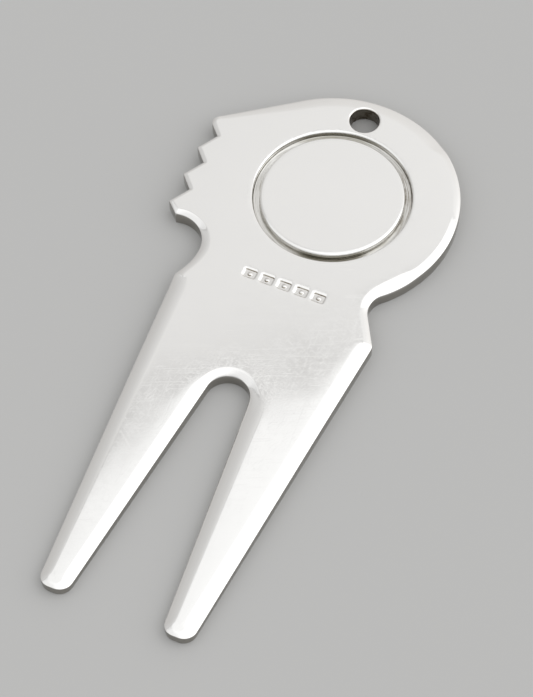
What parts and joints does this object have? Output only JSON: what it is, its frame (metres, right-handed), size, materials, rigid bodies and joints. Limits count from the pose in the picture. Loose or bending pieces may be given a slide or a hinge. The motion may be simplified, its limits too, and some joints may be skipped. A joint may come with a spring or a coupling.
{
  "type": "divot repair tool",
  "caption": "Flat polished silver divot repair tool with a two-pronged fork, a round saw-toothed head, a key-ring hole and a lift-out magnetic ball marker.",
  "frame": {"origin": "on the flat back face, straight below the centre of the ball marker", "axes": "+Z out of the polished face, +Y from the prongs to the head, +X to the right seen from the face, away from the saw teeth"},
  "size_m": [0.0373, 0.0847, 0.0025],
  "materials": {
    "body_silver": "hand-polished sterling silver",
    "marker_silver": "hand-polished sterling silver",
    "magnet_nickel": "nickel-plated magnet",
    "keeper_steel": "ground steel"
  },
  "bodies": {
    "tool": {"body_plate": "body_silver", "holding_magnet": "magnet_nickel"},
    "marker": {"marker_disc": "marker_silver", "marker_keeper": "keeper_steel"}
  },
  "joints": [
    {"name": "marker_lift", "type": "slide", "parent": "tool", "child": "marker", "axis": [0, 0, 1], "range_m": [0, 0.01]}
  ]
}
